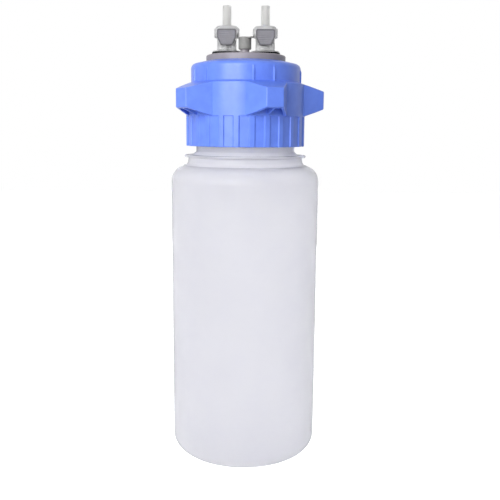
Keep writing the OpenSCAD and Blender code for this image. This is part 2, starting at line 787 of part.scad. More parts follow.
module barb_o_ring(side) {
    inner_r = plug_r - plug_groove_depth + skin;
    color([0.12, 0.12, 0.13]) at_port(side)
        translate([0, 0, plug_seal_z + plug_groove_w / 2])
            o_ring(inner_r, socket_d / 2 - skin - inner_r);
}

module poppet(side) {
    pin_r = poppet_spring_d / 2 - poppet_spring_wire - 0.5;
    pin_z = chamber_floor + poppet_stem_gap;
    fin_w = lip_d - 0.4;
    color([0.85, 0.85, 0.86]) at_port(side) {
        turned(pin_z, [[pin_r, poppet_flange - poppet_t - pin_z], [poppet_r, poppet_t],
            [poppet_hub_r, poppet_seal_w]]);
        for (turn = [0, 90]) rotate(turn) translate([-fin_w / 2, -poppet_fin_t / 2, valve_seat])
            cube([fin_w, poppet_fin_t, plug_tip - valve_seat]);
    }
}

module poppet_o_ring(side) {
    color([0.12, 0.12, 0.13]) at_port(side)
        translate([0, 0, poppet_flange + poppet_seal_w / 2])
            o_ring(poppet_hub_r + skin, poppet_seal_w - 2 * skin);
}

module poppet_spring(side) {
    color([0.75, 0.75, 0.76]) at_port(side) translate([0, 0, chamber_floor + skin])
        coil(poppet_spring_d, poppet_spring_wire,
            poppet_flange - poppet_t - chamber_floor - 2 * skin, poppet_spring_turns);
}

bottle();
screw_ring();
head_plate();
neck_gasket();
vent_cap();
drop_tube();
coupling_body(-1);  // inlet_body
port_gasket(-1);  // inlet_gasket
port_nut(-1);  // inlet_nut
latch(-1);  // inlet_latch
latch_spring(-1);  // inlet_latch_spring
barb(-1);  // inlet_barb
barb_o_ring(-1);  // inlet_barb_o_ring
poppet(-1);  // inlet_poppet
poppet_o_ring(-1);  // inlet_poppet_o_ring
poppet_spring(-1);  // inlet_poppet_spring
coupling_body(1);  // vacuum_body
port_gasket(1);  // vacuum_gasket
port_nut(1);  // vacuum_nut
latch(1);  // vacuum_latch
latch_spring(1);  // vacuum_latch_spring
barb(1);  // vacuum_barb
barb_o_ring(1);  // vacuum_barb_o_ring
poppet(1);  // vacuum_poppet
poppet_o_ring(1);  // vacuum_poppet_o_ring
poppet_spring(1);  // vacuum_poppet_spring
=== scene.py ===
from math import atan2, ceil, cos, degrees, pi, radians, sin, sqrt, tan

import bmesh
import bpy
from mathutils import Matrix, Vector


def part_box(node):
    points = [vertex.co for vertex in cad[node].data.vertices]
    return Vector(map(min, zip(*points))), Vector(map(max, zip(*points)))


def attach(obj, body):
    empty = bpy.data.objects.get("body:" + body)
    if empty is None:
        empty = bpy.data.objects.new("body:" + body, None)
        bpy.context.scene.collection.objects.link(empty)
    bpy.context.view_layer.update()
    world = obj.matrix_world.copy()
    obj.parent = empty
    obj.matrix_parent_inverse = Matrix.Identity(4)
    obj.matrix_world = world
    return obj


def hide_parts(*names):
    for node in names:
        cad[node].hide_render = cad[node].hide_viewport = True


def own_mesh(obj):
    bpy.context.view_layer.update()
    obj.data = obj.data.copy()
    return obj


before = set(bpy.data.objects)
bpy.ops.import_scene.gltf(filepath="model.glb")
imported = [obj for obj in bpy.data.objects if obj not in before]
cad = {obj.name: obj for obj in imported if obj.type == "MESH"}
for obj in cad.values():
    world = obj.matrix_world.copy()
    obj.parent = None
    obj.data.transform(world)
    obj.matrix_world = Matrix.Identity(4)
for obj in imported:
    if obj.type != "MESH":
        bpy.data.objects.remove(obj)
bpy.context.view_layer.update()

# Lengths are in millimetres, and turned to metres with MM. In the studio they are in metres.
MM = 0.001
HAIR = 0.02                            # keeps faces that meet from lying in one plane


# ---------------------------------------------------------------- places read from the CAD pieces
def span(node):
    """The low and the high corner of a CAD piece."""
    low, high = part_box(node)
    return Vector(low) / MM, Vector(high) / MM


ring_low, ring_high = span("screw_ring")
cap_low, cap_high = span("vent_cap")
PORTS = {}                             # how far to the right each coupling stands
for side in ("inlet", "vacuum"):
    gasket_low, gasket_high = span(f"{side}_gasket")
    PORTS[side] = (gasket_low.x + gasket_high.x) / 2
FOOT_Z = span("inlet_gasket")[1].z     # the couplings' feet rest on their gaskets


# ---------------------------------------------------------------- hand tools
WELD = 2e-6                            # metres; points that lie closer are one point


def let_go():
    bpy.ops.object.select_all(action="DESELECT")


def take(*pieces):
    let_go()
    for piece in pieces:
        piece.select_set(True)
    bpy.context.view_layer.objects.active = pieces[-1]


def open_mesh(piece, kind="VERT"):
    take(piece)
    bpy.ops.object.mode_set(mode="EDIT")
    bpy.ops.mesh.select_mode(type=kind)
    bpy.ops.mesh.select_all(action="DESELECT")
    return bmesh.from_edit_mesh(piece.data)


def close_mesh():
    bpy.ops.object.mode_set(mode="OBJECT")


def pick(piece, shell, kind, wanted):
    """Selects what is wanted of a mesh that is open in edit mode."""
    bpy.ops.mesh.select_mode(type=kind)
    bpy.ops.mesh.select_all(action="DESELECT")
    parts = {"VERT": shell.verts, "EDGE": shell.edges, "FACE": shell.faces}[kind]
    count = 0
    for part in parts:
        if wanted(part):
            part.select_set(True)
            count += 1
    shell.select_flush_mode()
    bmesh.update_edit_mesh(piece.data)
    return count


def tidy_shell():
    bpy.ops.mesh.select_all(action="SELECT")
    bpy.ops.mesh.remove_doubles(threshold=WELD)
    bpy.ops.mesh.normals_make_consistent(inside=False)


def mend(piece):
    """Joins the doubled points that a boolean leaves, and takes out those that only two edges share."""
    open_mesh(piece)
    bpy.ops.mesh.select_all(action="SELECT")
    bpy.ops.mesh.remove_doubles(threshold=WELD)
    bpy.ops.mesh.dissolve_degenerate(threshold=WELD)
    close_mesh()
    shell = open_mesh(piece)
    if pick(piece, shell, "VERT", lambda vertex: len(vertex.link_edges) == 2):
        bpy.ops.mesh.dissolve_verts()
    close_mesh()


def finish_piece(piece, body, look, stands_for=(), smooth=32):
    """Gives a piece its gloss and its look, and says what it rides on and which CAD pieces it stands for."""
    mend(piece)
    take(piece)
    bpy.ops.object.shade_smooth_by_angle(angle=radians(smooth))
    bpy.ops.object.modifier_add(type="WEIGHTED_NORMAL")
    piece.modifiers[-1].keep_sharp = True
    bpy.ops.object.modifier_apply(modifier=piece.modifiers[-1].name)
    piece.data.materials.clear()
    piece.data.materials.append(look)
    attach(piece, body)
    if stands_for:
        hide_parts(*stands_for)
    return piece


# ---------------------------------------------------------------- outlines
def rounded(corners, arc_step=15):
    """An outline with its corners rounded: each corner is (across, up, size of rounding)."""
    points = []
    count = len(corners)
    for i, corner in enumerate(corners):
        here = Vector(corner[:2])
        size = corner[2] if len(corner) > 2 else 0
        if not size:
            points.append(tuple(here))
            continue
        back = Vector(corners[i - 1][:2]) - here
        on = Vector(corners[(i + 1) % count][:2]) - here
        half = back.angle(on) / 2
        reach = size / tan(half)
        start, end = here + back.normalized() * reach, here + on.normalized() * reach
        centre = here + (back.normalized() + on.normalized()).normalized() * size / sin(half)
        turn = pi - 2 * half
        steps = max(2, ceil(degrees(turn) / arc_step))
        a, b = start - centre, end - centre
        sign = 1 if a.x * b.y - a.y * b.x > 0 else -1
        for k in range(steps + 1):
            angle = sign * turn * k / steps
            points.append((centre.x + a.x * cos(angle) - a.y * sin(angle),
                           centre.y + a.x * sin(angle) + a.y * cos(angle)))
    return points


def arc_of(radius, count=64, x=0.0, y=0.0, start=0.0, sweep=2 * pi):
    """Points on an arc. A full circle doesn't repeat its first point."""
    steps = count if sweep > 6.28 else count + 1
    return [(x + radius * cos(start + sweep * i / count), y + radius * sin(start + sweep * i / count))
            for i in range(steps)]


def oblong(left, low, right, high):
    return [(left, low), (right, low), (right, high), (left, high)]


def closed(points):
    return points + points[:1]


# ---------------------------------------------------------------- ways to make and shape a piece
def turned(name, outline, steps):
    """Spins a half outline, drawn point by point, round the upright axis."""
    let_go()
    bpy.ops.mesh.primitive_plane_add(size=MM, location=(0, 0, 0))
    piece = bpy.context.object
    piece.name = piece.data.name = name
    bpy.ops.object.mode_set(mode="EDIT")
    bpy.ops.mesh.select_mode(type="VERT")
    bpy.ops.mesh.select_all(action="SELECT")
    bpy.ops.mesh.merge(type="CENTER")
    bpy.ops.transform.translate(value=(outline[0][0] * MM, 0, outline[0][1] * MM))
    for (r0, z0), (r1, z1) in zip(outline, outline[1:]):
        step = ((r1 - r0) * MM, 0, (z1 - z0) * MM)
        bpy.ops.mesh.extrude_region_move(TRANSFORM_OT_translate={"value": step})
    bpy.ops.mesh.select_all(action="SELECT")
    bpy.ops.mesh.spin(steps=steps, angle=2 * pi, center=(0, 0, 0), axis=(0, 0, 1))
    tidy_shell()
    close_mesh()
    return piece


def plate(name, outline, low, high):
    """A flat plate: its outline in plan, filled and drawn up from low to high."""
    let_go()
    bpy.ops.mesh.primitive_circle_add(vertices=len(outline), radius=MM, fill_type="NGON", location=(0, 0, 0))
    piece = bpy.context.object
    piece.name = piece.data.name = name
    for vertex, (x, y) in zip(piece.data.vertices, outline):
        vertex.co = (x * MM, y * MM, low * MM)
    bpy.ops.object.mode_set(mode="EDIT")
    bpy.ops.mesh.select_mode(type="FACE")
    bpy.ops.mesh.select_all(action="SELECT")
    bpy.ops.mesh.extrude_region_move(TRANSFORM_OT_translate={"value": (0, 0, (high - low) * MM)})
    tidy_shell()
    close_mesh()
    return piece


def boolean(piece, other, how):
    take(piece)
    bpy.ops.object.modifier_add(type="BOOLEAN")
    join = piece.modifiers[-1]
    join.operation, join.object, join.solver = how, other, "EXACT"
    bpy.ops.object.modifier_apply(modifier=join.name)
    take(other)
    bpy.ops.object.delete()
    return piece


def copy_of(piece, name):
    take(piece)
    bpy.ops.object.duplicate(linked=False)
    twin = bpy.context.object
    twin.name = twin.data.name = name
    return twin


def placed(piece, matrix):
    """Moves a mesh and leaves its object at the origin."""
    take(piece)
    piece.matrix_world = matrix @ piece.matrix_world
    bpy.ops.object.transform_apply(location=True, rotation=True, scale=True)
    return piece


def bevel_edges(piece, width, wanted, segments=3):
    shell = open_mesh(piece, "EDGE")
    if pick(piece, shell, "EDGE", wanted):
        bpy.ops.mesh.bevel(offset=width * MM, offset_type="OFFSET", segments=segments, profile=0.5,
                           affect="EDGES", clamp_overlap=True)
    close_mesh()


# ---------------------------------------------------------------- what an edge or a point is like
def polar(point):
    """Distance from the upright axis, and height."""
    return point.xy.length / MM, point.z / MM


def middle(edge):
    return (edge.verts[0].co + edge.verts[1].co) / 2


def lowest(edge):
    return min(vertex.co.z for vertex in edge.verts) / MM


def steepness(edge):
    """0 for a level edge and 1 for an upright one."""
    return abs((edge.verts[0].co - edge.verts[1].co).normalized().z)


def sharp(edge, angle=30):
    return len(edge.link_faces) == 2 and edge.calc_face_angle(0) > radians(angle)


def rim_above(height):
    """A test that picks the sharp edges which lie wholly above a height."""
    return lambda edge: sharp(edge, 60) and lowest(edge) > height


# ---------------------------------------------------------------- finishes
RUB_WIDTH, RUB_SQUEEZE = 2.5, 0.12     # rubbed streaks are a few tenths wide, drawn wider so that they show
GLOSS_SPREAD = 0.05                    # how much rougher or smoother the streaks are


def linear(colour):
    channels = [int(colour[i:i + 2], 16) / 255 for i in (1, 3, 5)]
    return [c / 12.92 if c <= 0.04045 else ((c + 0.055) / 1.055) ** 2.4 for c in channels] + [1]


def add(tree, kind, inputs, **settings):
    """Adds one node with its settings, and joins or fills in its inputs."""
    node = tree.nodes.new("ShaderNode" + kind)
    for name, value in settings.items():
        setattr(node, name, value)
    for name, value in inputs.items():
        if isinstance(value, bpy.types.NodeSocket):
            tree.links.new(value, node.inputs[name])
        else:
            node.inputs[name].default_value = value
    return node


def moulded(name, colour, cloud_colour, cloud, rough, grain, grain_depth, wave=30, wave_depth=0, **finish):
    """A moulded surface, with its sizes in millimetres: slow clouds in the colour, rubbed streaks
    that change the gloss, a fine grain left by the mould, and the slow waves of a wall that shrank."""
    look = bpy.data.materials.new(name)
    look.use_nodes = True
    tree = look.node_tree
    shader = tree.nodes["Principled BSDF"]
    place = add(tree, "TexCoord", {}).outputs["Object"]
    clouds = add(tree, "TexNoise", {"Vector": place, "Scale": 1 / (cloud * MM),
                                    "Detail": 3, "Roughness": 0.55})
    blend = add(tree, "MapRange", {"Value": clouds.outputs["Fac"], "From Min": 0.35, "From Max": 0.65})
    tint = add(tree, "Mix", {"Factor": blend.outputs["Result"], 6: linear(colour), 7: linear(cloud_colour)},
               data_type="RGBA")
    tree.links.new(tint.outputs[2], shader.inputs["Base Color"])
    along = add(tree, "Mapping", {"Vector": place, "Scale": (1, 1, RUB_SQUEEZE), "Rotation": (0.5, 0.3, 0)})
    streaks = add(tree, "TexNoise", {"Vector": along.outputs["Vector"], "Scale": 1 / (RUB_WIDTH * MM),
                                     "Detail": 5, "Roughness": 0.6})
    gloss = add(tree, "MapRange", {"Value": streaks.outputs["Fac"], "From Min": 0.3, "From Max": 0.7,
                                   "To Min": rough - GLOSS_SPREAD, "To Max": rough + GLOSS_SPREAD})
    tree.links.new(gloss.outputs["Result"], shader.inputs["Roughness"])
    waves = add(tree, "TexNoise", {"Vector": place, "Scale": 1 / (wave * MM), "Detail": 1})
    slow = add(tree, "Bump", {"Height": waves.outputs["Fac"], "Distance": wave_depth * MM, "Strength": 1})
    pits = add(tree, "TexNoise", {"Vector": place, "Scale": 1 / (grain * MM), "Detail": 2})
    fine = add(tree, "Bump", {"Height": pits.outputs["Fac"], "Distance": grain_depth * MM, "Strength": 1,
                              "Normal": slow.outputs["Normal"]})
    tree.links.new(fine.outputs["Normal"], shader.inputs["Normal"])
    for socket, value in finish.items():
        shader.inputs[socket.replace("_", " ")].default_value = value
    return look


# Natural polypropylene, blow moulded: milky, lit from within, with a soft gloss on a wall that
# waves a little. Its mould grain is about 0.2 mm, drawn at 1.2 mm.
bottle_look = moulded("bottle_pp", "#F6F6F9", "#F2F2F6", cloud=24, rough=0.8, grain=1.2, grain_depth=0.004,
                      wave=34, wave_depth=0.25, IOR=1.35, Coat_Weight=0.3, Coat_Roughness=0.18)
# Pigmented polypropylene, injection moulded: an even blue whose gloss pales where it faces the light.
ring_look = moulded("ring_pp", "#6385EA", "#5D7EE4", cloud=9, rough=0.34, grain=0.9, grain_depth=0.006,
                    wave=14, wave_depth=0.02, Specular_IOR_Level=0.5)
# Grey polypropylene, injection moulded in a lightly blasted tool: silky, with faint mauve in its grey.
head_look = moulded("head_pp", "#8F8A91", "#88838A", cloud=8, rough=0.45, grain=0.9, grain_depth=0.015)
# Peroxide cured EPDM: dull black, a little dusty.
seal_look = moulded("seal_rubber", "#0B0B0E", "#121215", cloud=4, rough=0.75, grain=0.8, grain_depth=0.02,
                    Specular_IOR_Level=0.2)
# Grey thermoplastic rubber: soft matt skin, slightly see-through at its thin rim.
cap_look = moulded("cap_rubber", "#939392", "#8B8B8A", cloud=5, rough=0.6, grain=0.8, grain_depth=0.02,
                   Subsurface_Weight=0.6, Subsurface_Radius=[3 * MM] * 3, Subsurface_Scale=1.0)
# Extruded polyethylene: milky and waxy.
tube_look = moulded("tube_pe", "#E6E6EA", "#DEDEE3", cloud=10, rough=0.6, grain=1.0, grain_depth=0.006,
                    Transmission_Weight=0.6, IOR=1.3)
# Natural acetal: bone white, dense but lit from within, smooth from a polished tool.
coupling_look = moulded("coupling_acetal", "#F8F8F9", "#F2F2F4", cloud=6, rough=0.6, grain=0.9,
                        grain_depth=0.006, Transmission_Weight=0.7, IOR=1.3, Subsurface_Weight=1.0,
                        Subsurface_Radius=[6 * MM] * 3, Subsurface_Scale=1.0, Coat_Weight=0.3,
                        Coat_Roughness=0.2)
# Grey acetal: the same tool finish with pigment, so no light from within.
button_look = moulded("button_acetal", "#85848B", "#7F7E85", cloud=5, rough=0.45, grain=0.9,
                      grain_depth=0.012)
# The same grey acetal on the button's frame and sides, duller, and darker as painted shade.
frame_shade_look = moulded("button_frame_painted_shade", "#66656C", "#606066", cloud=5, rough=0.6, grain=0.9,
                     grain_depth=0.012)
# Natural polypropylene, injection moulded thin: the milkiest piece here.
barb_look = moulded("barb_pp", "#E8E8E7", "#E1E1E0", cloud=5, rough=0.7, grain=0.9, grain_depth=0.006,
                    Transmission_Weight=0.8, IOR=1.3, Coat_Weight=0.3, Coat_Roughness=0.2)
# Drawn stainless steel wire: bright, with the die's fine lines drawn coarser as streaks in its gloss.
spring_look = moulded("spring_steel", "#C6C5C2", "#BDBCB9", cloud=3, rough=0.3, grain=0.5,
                      grain_depth=0.006, Metallic=1.0)

# The CAD pieces that are shown as they are
kept = {"neck_gasket": seal_look, "drop_tube": tube_look}
for side in PORTS:
    for part, look in {"gasket": seal_look, "nut": coupling_look, "barb_o_ring": seal_look,
                       "poppet": coupling_look, "poppet_o_ring": seal_look,
                       "poppet_spring": spring_look}.items():
        kept[f"{side}_{part}"] = look
for name, look in kept.items():
    cad[name].data.materials.clear()
    cad[name].data.materials.append(look)

# ---------------------------------------------------------------- screw threads
THREAD_Z, THREAD_PITCH, THREAD_TURNS, THREAD_STEPS = 352.2, 6.0, 1.3, 120
THREAD_FOOT, THREAD_CREST = 1.3, 0.6   # half the thread's width at its foot and at its crest
THREAD_ROOT, THREAD_DEPTH = 0.8, 3.0   # how far it is rooted in its wall, and stands out of it
END_RISE, RUN_OUT = 0.004, 30          # an end rises from almost nothing over a thirtieth of a turn


def thread(name, foot_r, crest_r, z):
    """A screw thread: its small section swept up a helix, with ends that run out."""
    out = 1 if crest_r > foot_r else -1
    section = [(foot_r, THREAD_FOOT * out), (crest_r, THREAD_CREST * out),
               (crest_r, -THREAD_CREST * out), (foot_r, -THREAD_FOOT * out)]
    let_go()
    bpy.ops.mesh.primitive_plane_add(size=MM, location=(0, 0, 0))
    piece = bpy.context.object
    piece.name = piece.data.name = name
    for vertex, k in zip(piece.data.vertices, (0, 1, 3, 2)):
        vertex.co = (section[k][0] * MM, 0, (z + section[k][1]) * MM)
    bpy.ops.object.mode_set(mode="EDIT")
    bpy.ops.mesh.select_all(action="SELECT")
    bpy.ops.mesh.delete(type="ONLY_FACE")
    close_mesh()
    bpy.ops.object.modifier_add(type="SCREW")
    sweep = piece.modifiers[-1]
    sweep.angle, sweep.screw_offset = 2 * pi * THREAD_TURNS, THREAD_PITCH * THREAD_TURNS * MM
    sweep.steps = sweep.render_steps = round(THREAD_STEPS * THREAD_TURNS)
    bpy.ops.object.modifier_apply(modifier=sweep.name)
    shell = open_mesh(piece)
    for vertex in shell.verts:
        r, turn = vertex.co.xy.length / MM, atan2(vertex.co.y, vertex.co.x) / (2 * pi)
        turn += round((vertex.co.z / MM - z) / THREAD_PITCH - turn)
        rise = min(1, (turn + END_RISE) * RUN_OUT, (THREAD_TURNS - turn + END_RISE) * RUN_OUT)
        vertex.co.xy *= (foot_r + (r - foot_r) * rise) / r
    bmesh.update_edit_mesh(piece.data)
    bpy.ops.mesh.select_all(action="SELECT")
    bpy.ops.mesh.fill_holes(sides=8)
    tidy_shell()
    close_mesh()
    return piece


# ---------------------------------------------------------------- bottle
BOTTLE_R, WALL = 72.5, 2.0
BASE_R, BASE_RISE = 51.2, 3.0          # the base is pushed up inside this radius
SHOULDER_Z, NECK_RING_Z, NECK_Z, RIM_Z = 289.0, 297.0, 299.2, 376.2
COLLAR_LOW_R, COLLAR_R, NECK_RING_R = 56.8, 55.6, 59.5
NECK_FOOT_R, NECK_FOOT_H, NECK_R, MOUTH_R = 52.0, 3.2, 48.2, 45.2
MOUTH_LOW_Z = NECK_Z - 3
CLEAR_WALL, CLEAR_NECK, CLEAR_FADE = 0.98, 0.84, 25


def milkier_neck(look):
    """The neck is moulded thicker than the wall, so it lets less light through and is milkier."""
    tree = look.node_tree
    height = add(tree, "SeparateXYZ", {"Vector": add(tree, "TexCoord", {}).outputs["Object"]})
    clear = add(tree, "MapRange", {"Value": height.outputs["Z"], "From Min": (SHOULDER_Z - CLEAR_FADE) * MM,
                                   "From Max": SHOULDER_Z * MM, "To Min": CLEAR_WALL, "To Max": CLEAR_NECK})
    tree.links.new(clear.outputs["Result"], tree.nodes["Principled BSDF"].inputs["Transmission Weight"])


milkier_neck(bottle_look)
bottle = turned("bottle_shell", rounded([
    (0, BASE_RISE), (BASE_R / 2, BASE_RISE, 14), (BASE_R, 0.0, 1.2), (BOTTLE_R, 0.0, 13.0),
    (BOTTLE_R, SHOULDER_Z, 15.5), (COLLAR_LOW_R, SHOULDER_Z, 4.5), (COLLAR_R, NECK_RING_Z, 0.5),
    (NECK_RING_R, NECK_RING_Z, 0.7), (NECK_RING_R, NECK_Z, 0.7), (NECK_FOOT_R, NECK_Z, 0.8),
    (NECK_R, NECK_Z + NECK_FOOT_H, 1.2), (NECK_R, RIM_Z, 0.7), (MOUTH_R, RIM_Z, 0.7),
    (MOUTH_R, MOUTH_LOW_Z, 3.0), (COLLAR_R - WALL, MOUTH_LOW_Z, 1.5),
    (COLLAR_LOW_R - WALL, SHOULDER_Z - WALL, 5.0), (BOTTLE_R - WALL, SHOULDER_Z - WALL, 13.5),
    (BOTTLE_R - WALL, WALL, 11.0), (BASE_R + 0.2, WALL, 1.5), (BASE_R / 2, BASE_RISE + WALL, 14),
    (0, BASE_RISE + WALL)], 10), steps=160)
neck_thread = thread("neck_thread", NECK_R - THREAD_ROOT, NECK_R + THREAD_DEPTH, THREAD_Z)
boolean(bottle, neck_thread, "UNION")
finish_piece(bottle, "bottle", bottle_look, ["bottle"])

# ---------------------------------------------------------------- screw ring
COLUMNS = 600                          # steps round the ring
COLUMN = 360 / COLUMNS                 # degrees
RING_Z, DRUM_Z, DRUM_TOP, RING_TOP, SEAT_Z = ring_low.z - 0.6, 336.2, 366.4, ring_high.z, 382.4
RING_R, TIER_R, HOLE_R, BORE_R, TIER_BORE_R = 57.9, 52.9, 38.6, 51.8, 49.6
RIM_CHAMFER, BORE_STEP, SEAT_CHAMFER = 1.6, 2.2, 2.6
TIER_SLOPE = tan(radians(13.5))
WINGS, WING_TURN = 5, 20.8
WING_PITCH = 360 / WINGS               # degrees
WING_REACH, WING_HALF, WING_FOOT = 75.5, 8.2, radians(20.6)
WING_WALL, WEB = 2.5, 1.6
WING_CORNER = atan2(WING_HALF, WING_REACH)
WING_CORNER_R = sqrt(WING_REACH ** 2 + WING_HALF ** 2)
WING_FALL, WING_RISE = 6.0, 7.4        # how far a wing's top falls and its underside rises, to its corner
TOP_SLOPE = WING_FALL / (WING_CORNER_R - RING_R)
LOW_SLOPE = WING_RISE / (WING_CORNER_R - RING_R)
ROOT_R = 56.2                          # a wing is rooted in the drum's wall
WING_MIDDLE_Z = 350.0
HOLLOW_WEB_Y, HOLLOW_SIDE_Y, HOLLOW_SIDE_IN = 57.0, 54.6, 3  # a hollow's end at the drum
# The grip ribs' half width and spacing, and the tier ribs' place, shift and half width, are in columns
FLUTE_DEPTH, FLUTE_END, RIB_HALF, RIB_PITCH = 1.3, 0.35, 4, 24
TIER_RIB_COLUMN, TIER_RIB_SHIFT, TIER_RIB_HALF, TIER_RIB_H = 18, -3, 1, 1.1
TIER_RIB_MIDDLE_Z, TIER_RIB_FADE, TIER_RIB_LEAN = 376.0, 10.2, 0.55
TIER_LOW_Z, TIER_HIGH_Z = DRUM_TOP + 0.9, RING_TOP - 6  # the tier's wall, clear of its rounded ends

ring = turned("screw_ring_shell", closed(rounded([
    (BORE_R + RIM_CHAMFER, RING_Z, 0.4), (RING_R, RING_Z, 0.7), (RING_R, DRUM_Z - FLUTE_END),
    (RING_R, DRUM_Z), (RING_R, DRUM_TOP, 0.8), (TIER_R, DRUM_TOP + TOP_SLOPE * (RING_R - TIER_R), 0.7),
    (TIER_R, TIER_RIB_MIDDLE_Z), (TIER_R, RING_TOP - TIER_RIB_FADE),
    (TIER_R, RING_TOP - TIER_SLOPE * (TIER_R - HOLE_R), 4.6), (HOLE_R, RING_TOP, 0.6), (HOLE_R, SEAT_Z),
    (TIER_BORE_R - SEAT_CHAMFER, SEAT_Z), (TIER_BORE_R, SEAT_Z - SEAT_CHAMFER), (TIER_BORE_R, DRUM_TOP),
    (BORE_R, DRUM_TOP - BORE_STEP), (BORE_R, RING_Z + RIM_CHAMFER, 0.4)], 12)), steps=COLUMNS)


def column(point):
    """Number of columns from the middle of the nearest wing, while a wing still points to the front."""
    angle = degrees(atan2(point.x, -point.y))
    return ((angle + WING_PITCH / 2) % WING_PITCH - WING_PITCH / 2) / COLUMN


def cut_flutes(shell):
    """Draws the drum's outside in between its grip ribs, to a flat floor."""
    for vertex in shell.verts:
        r, z = polar(vertex.co)
        from_rib = abs((column(vertex.co) + RIB_PITCH / 2) % RIB_PITCH - RIB_PITCH / 2)
        if r > RING_R - 1.2 and z < DRUM_Z - 0.2 and from_rib > RIB_HALF + 0.5:
            floor_r = (RING_R - FLUTE_DEPTH) / cos(radians(COLUMN * (RIB_PITCH / 2 - from_rib)))
            inset = RING_R - floor_r
            vertex.co.xy *= (r - inset) / r


def raise_tier_ribs(shell):
    """Draws the tier's wall out to upright ribs, which sink into the slope above them."""
    for vertex in shell.verts:
        r, z = polar(vertex.co)
        from_rib = abs(abs(column(vertex.co) - TIER_RIB_SHIFT) - TIER_RIB_COLUMN)
        on_wall = r > TIER_BORE_R + 0.5 and TIER_LOW_Z < z < TIER_HIGH_Z
        crest = TIER_R + TIER_RIB_H - max(0, z - RING_TOP + TIER_RIB_FADE) * TIER_RIB_LEAN
        if on_wall and from_rib <= TIER_RIB_HALF + 0.1 and crest > r:
            vertex.co.xy *= crest / r


def flute_edge(edge):
    r, z = polar(middle(edge))
    return steepness(edge) > 0.9 and r > RING_R - 1.6 and z < DRUM_Z - 0.3 and sharp(edge, 20)


def tier_rib_edge(edge):
    r, z = polar(middle(edge))
    on_wall = r > TIER_R - 0.4 and TIER_LOW_Z < z < TIER_HIGH_Z - 1
    return steepness(edge) > 0.6 and on_wall and sharp(edge, 20)


shell = open_mesh(ring)
cut_flutes(shell)
raise_tier_ribs(shell)
bmesh.update_edit_mesh(ring.data)
close_mesh()
bevel_edges(ring, 0.28, flute_edge, 2)
bevel_edges(ring, 0.22, tier_rib_edge, 2)


# ---------------------------------------------------------------- wings of the screw ring
def wing_side():
    """The corner and the foot of a wing's flank in plan, with the wing drawn along Y."""
    return Vector((WING_HALF, WING_REACH)), RING_R * Vector((sin(WING_FOOT), cos(WING_FOOT)))


def wing_r(angle):
    """Distance from the axis to the wing's outside at an angle from its middle."""
    a = abs(angle)
    if a <= WING_CORNER:
        return WING_REACH / cos(a)
    tip, foot = wing_side()
    side = foot - tip
    ray = Vector((sin(a), cos(a)))
    return (tip.x * side.y - tip.y * side.x) / (ray.x * side.y - ray.y * side.x)


def wing_block():
    """A solid wing at the front, as a fan of columns from its root to its outside."""
    half_fan = [radians(a) for a in (0, 1.6, 3.4)] + [WING_CORNER]
    half_fan += [radians(a) for a in (8.6, 12, 16)] + [WING_FOOT]
    fan = [-a for a in reversed(half_fan[1:])] + half_fan
    rows = len(fan)
    let_go()
    bpy.ops.mesh.primitive_grid_add(x_subdivisions=rows - 1, y_subdivisions=1, size=10 * MM,
                                    location=(0, 0, 0))
    wing = bpy.context.object
    wing.name = "wing_block"
    for i, vertex in enumerate(wing.data.vertices):
        a = fan[i % rows]
        r = wing_r(a) if i >= rows else ROOT_R
        if i >= rows and abs(a) == WING_FOOT:
            r = RING_R
        vertex.co = (r * sin(a) * MM, -r * cos(a) * MM, (DRUM_TOP + HAIR - TOP_SLOPE * (r - RING_R)) * MM)
    bpy.ops.object.mode_set(mode="EDIT")
    bpy.ops.mesh.select_mode(type="FACE")
    bpy.ops.mesh.select_all(action="SELECT")
    bpy.ops.mesh.extrude_region_move(TRANSFORM_OT_translate={"value": (0, 0, -20 * MM)})
    shell = bmesh.from_edit_mesh(wing.data)
    for vertex in shell.verts:
        if vertex.select:              # the underside, which rises outwards
            r = polar(vertex.co)[0]
            vertex.co.z = (DRUM_Z + LOW_SLOPE * max(0, r - RING_R)) * MM
    bmesh.update_edit_mesh(wing.data)
    tidy_shell()
    close_mesh()
    return wing


def wing_rim(edge):
    return sharp(edge, 14) and polar(middle(edge))[0] > RING_R - 0.9


def hollow_outline(side):
    """One of a wing's two hollows in plan, to the left or the right of its web."""
    tip, foot = wing_side()
    along = (foot - tip).normalized()
    inward = Vector((along.y, -along.x))
    edge = tip + WING_WALL * inward
    end_y = WING_REACH - WING_WALL
    end_x = edge.x + along.x * (end_y - edge.y) / along.y
    root = foot + WING_WALL * inward
    points = [(WEB / 2, end_y), (end_x, end_y), (root.x, root.y), (root.x - HOLLOW_SIDE_IN, HOLLOW_SIDE_Y),
              (WEB / 2, HOLLOW_WEB_Y)]
    points = [(side * x, -y) for x, y in points]
    return points if side > 0 else points[::-1]


def hollow_rim(edge):
    return sharp(edge) and (lowest(edge) > WING_MIDDLE_Z or steepness(edge) > 0.9)


def wing_hollow(side):
    """What is cut out of a wing from below, up to a roof that runs with the wing's top."""
    hollow = plate("wing_hollow", hollow_outline(side), DRUM_Z - 3, DRUM_TOP - WING_WALL)
    shell = open_mesh(hollow)
    for vertex in shell.verts:
        r, z = polar(vertex.co)
        if z > WING_MIDDLE_Z:
            vertex.co.z = (DRUM_TOP - WING_WALL - TOP_SLOPE * (r - RING_R)) * MM
    bmesh.update_edit_mesh(hollow.data)
    close_mesh()
    bevel_edges(hollow, 0.8, hollow_rim)
    return hollow


